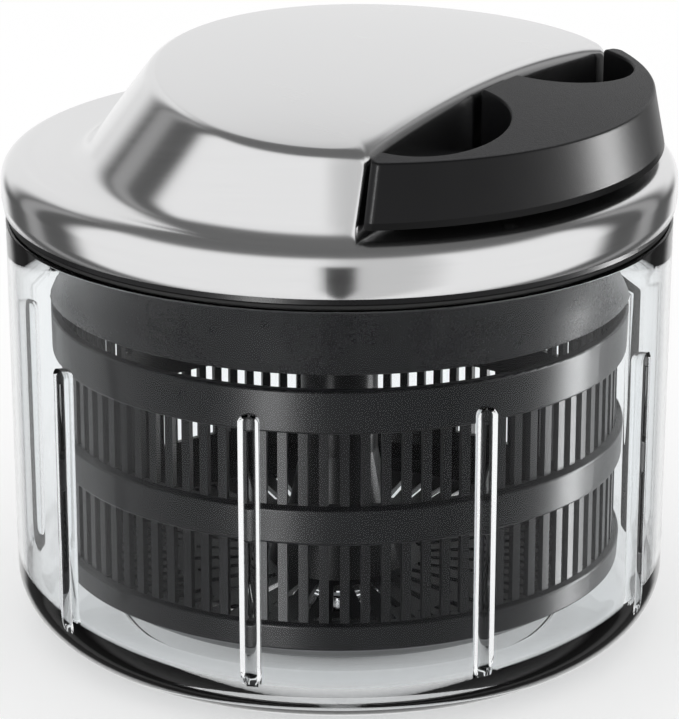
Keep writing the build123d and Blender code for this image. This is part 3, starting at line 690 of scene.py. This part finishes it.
# ---- pull cord, from the drum's side of the eyelet to the ferrule inside the grip
cordLow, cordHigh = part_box("cord_end")
cordShape = {
    "height": (cordLow.z + cordHigh.z) / 2,
    "radius": (cordHigh.z - cordLow.z) / 2,
    "start": cordLow.x,
    "end": cordHigh.x,
    "leavesLid": 61.0 * mm,
    "entersGrip": 65.4 * mm,
    "stretches": 90,
}


def makePullCord():
    s = cordShape
    bm = bmesh.new()
    bmesh.ops.create_circle(bm, cap_ends=True, segments=16, radius=s["radius"])
    bmesh.ops.rotate(bm, verts=bm.verts, cent=(0, 0, 0), matrix=Matrix.Rotation(pi / 2, 3, "Y"))
    bmesh.ops.translate(bm, verts=bm.verts, vec=(s["start"], 0, s["height"]))
    gap = s["entersGrip"] - s["leavesLid"]
    inside = [s["leavesLid"] + gap * i / s["stretches"] for i in range(s["stretches"] + 1)]
    here = s["start"]
    faces = list(bm.faces)
    for place in inside + [s["end"]]:
        made = bmesh.ops.extrude_face_region(bm, geom=faces)["geom"]
        verts = [item for item in made if isinstance(item, bmesh.types.BMVert)]
        bmesh.ops.delete(bm, geom=[face for face in faces if here > s["start"]], context="FACES_ONLY")
        faces = [item for item in made if isinstance(item, bmesh.types.BMFace)]
        bmesh.ops.translate(bm, verts=verts, vec=(place - here, 0, 0))
        here = place
    bmesh.ops.recalc_face_normals(bm, faces=bm.faces)
    piece = finishPiece("pullCord", bm, [braidedCord()], 50)
    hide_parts("cord_end")
    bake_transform(piece)


makePullCord()
print("pull cord: made")


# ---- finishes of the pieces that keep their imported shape
plasticBlack = ((0.0025, 0.0025, 0.0028), (0.006, 0.006, 0.0064))
basketBlack = mouldedPlastic("basketBlack", *plasticBlack, 0.30, 900.0, 0.02, 0.16)
coverBlack = mouldedPlastic("coverBlack", *plasticBlack, 0.28, 900.0, 0.02, 0.16)
sealBlack = mouldedPlastic("sealBlack", (0.006, 0.006, 0.006), (0.014, 0.014, 0.014), 0.55, 1500.0, 0.2)
housingGrey = mouldedPlastic("housingGrey", (0.060, 0.060, 0.066), (0.10, 0.10, 0.108), 0.45, 900.0, 0.2)
acetal = mouldedPlastic("acetal", (0.66, 0.65, 0.61), (0.78, 0.77, 0.72), 0.40, 1100.0, 0.1)
machinedSteel = turnedSteel("machinedSteel", (0.46, 0.46, 0.48), (0.62, 0.62, 0.63), 0.32)
springSteel = turnedSteel("springSteel", (0.20, 0.22, 0.27), (0.36, 0.37, 0.42), 0.30)
crimpBrass = turnedSteel("crimpBrass", (0.62, 0.45, 0.20), (0.78, 0.60, 0.30), 0.30)
finishes = {
    "brushed_steel": machinedSteel,
    "black_plastic": basketBlack,
    "grip_plastic": grainedGripPaintedTopLight(),
    "seal_rubber": sealBlack,
    "bare_steel": machinedSteel,
    "spring_steel": springSteel,
    "housing_plastic": housingGrey,
    "bearing_plastic": acetal,
    "cord_braid": bpy.data.materials["braidedCord"],
    "brass": crimpBrass,
    "clear_plastic": bpy.data.materials["clearPlastic"],
}
for name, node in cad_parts.items():
    for slot in node.material_slots:
        slot.material = finishes[slot.material.name]
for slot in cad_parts["inner_cover"].material_slots:
    slot.material = coverBlack
print("finishes: given to the packed nodes")


# ---- studio: pale floor, white surround, soft lamps
studioSet = {
    "cameraSide": (0.515, -0.857),   # level directions towards the camera and to its right
    "rightSide": (0.857, 0.515),
    "wall": 0.95,
    "backWall": 0.88,
    "overhead": 0.14,
    # cards: degrees round from the camera, half width, soft edge, tone
    "cards": (
        (-125, 20, 12, 0.10),        # a dark flag at each side, a little behind the object
        (125, 20, 12, 0.10),
        (-125, 2, 6, 0.35),          # and a slit of light in each flag
        (125, 2, 6, 0.35),
        (15, 5, 20, 0.65),           # a grey fill to the right of the middle
    ),
    "strip": (0, 4, 3, 0.05),        # a narrow dark card in front, below eye level
    "back": (180, 32, 16),           # the wall behind is a little greyer than the others
    "glow": 0.44,                    # how far the floor lights itself
    "lampDistance": 1.6,
}


def makeFloor():
    bm = bmesh.new()
    bmesh.ops.create_grid(bm, x_segments=2, y_segments=2, size=8.0)
    material, wire = newFinish("paleFloor")
    places = wire.node("ShaderNodeTexCoord", output=3)
    cloud = noise(wire, places, 1.5, 2.0)
    closeFinish(wire, {"Base Color": blendColour(wire, cloud, (0.55, 0.55, 0.55), (0.57, 0.57, 0.57)),
                       "Roughness": 0.9, "Specular IOR Level": 0.0,
                       "Emission Color": (1, 1, 1, 1), "Emission Strength": studioSet["glow"]})
    floor = finishPiece("floor", bm, [material])
    floor.visible_glossy = False


def makeWorld():
    s = studioSet
    world = bpy.data.worlds.new("studio")
    world.use_nodes = True
    world.node_tree.nodes.clear()
    bpy.context.scene.world = world
    wire = Wire(world.node_tree)
    heading = wire.node("ShaderNodeSeparateXYZ", None, {0: wire.node("ShaderNodeTexCoord", output=0)})
    x, y, z = heading, heading.out(1), heading.out(2)
    facing = x * s["cameraSide"][0] + y * s["cameraSide"][1]
    side = x * s["rightSide"][0] + y * s["rightSide"][1]
    level = wire.maths("SQRT", x * x + y * y) + 0.0001

    def card(degree, half, soft):
        # 1 inside the card's half width, fading to 0 over its soft edge
        turn = radians(degree)
        closeness = (facing * cos(turn) + side * sin(turn)) / level
        return closeness.fade(cos(radians(half + soft)), cos(radians(half)))

    def lay(under, mask, over):
        return under * (1 - mask) + mask * over

    tone = s["wall"]
    for *where, shade in s["cards"]:
        tone = lay(tone, card(*where), shade)
    *where, shade = s["strip"]
    tone = lay(tone, card(*s["back"]) * z.fade(-0.15, 0.08), s["backWall"])
    tone = lay(tone, card(*where) * (1 - z.fade(0.0, 0.2)), shade)
    tone = lay(tone, z.fade(0.60, 0.78), s["overhead"])
    # mirrors see the tone, and everything else, glass with them, sees plain white
    glossy = wire.node("ShaderNodeLightPath", output=3)
    shown = lay(1.0, glossy * (1 - glossy.out(6)), tone)
    light = wire.node("ShaderNodeBackground", None, {"Color": shown, "Strength": 1.0})
    wire.node("ShaderNodeOutputWorld", None, {"Surface": light})


def group(name, pieces):
    made = bpy.data.collections.new(name)
    for piece in pieces:
        made.objects.link(piece)
    return made


def makeLamp(name, degree, size, radiance, lit, shading):
    # a tall soft box round the object at an angle from the camera, which lights only the given pieces
    s = studioSet
    turn = radians(degree)
    ahead, side = Vector((*s["cameraSide"], 0)), Vector((*s["rightSide"], 0))
    place = (ahead * cos(turn) + side * sin(turn)) * s["lampDistance"]
    data = bpy.data.lights.new(name, "AREA")
    data.shape = "RECTANGLE"
    data.size, data.size_y = size
    data.energy = radiance * pi * size[0] * size[1]
    lamp = bpy.data.objects.new(name, data)
    lamp.location = place
    lamp.rotation_euler = (-place).to_track_quat("-Z", "Y").to_euler()
    lamp.visible_camera = False
    lamp.light_linking.receiver_collection = lit
    lamp.light_linking.blocker_collection = shading
    bpy.context.scene.collection.objects.link(lamp)


makeFloor()
makeWorld()
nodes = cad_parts
darkPieces = group("darkPieces", [nodes[name] for name in ("basket", "inner_cover", "handle_grip")])
allPieces = group("allPieces", list(nodes.values()) + [bpy.data.objects["steelLid"]])
makeLamp("leftBox", -26, (0.34, 1.5), 22.0, darkPieces, allPieces)
makeLamp("rightBox", 104, (0.40, 1.5), 26.0, darkPieces, allPieces)
print("studio: set")
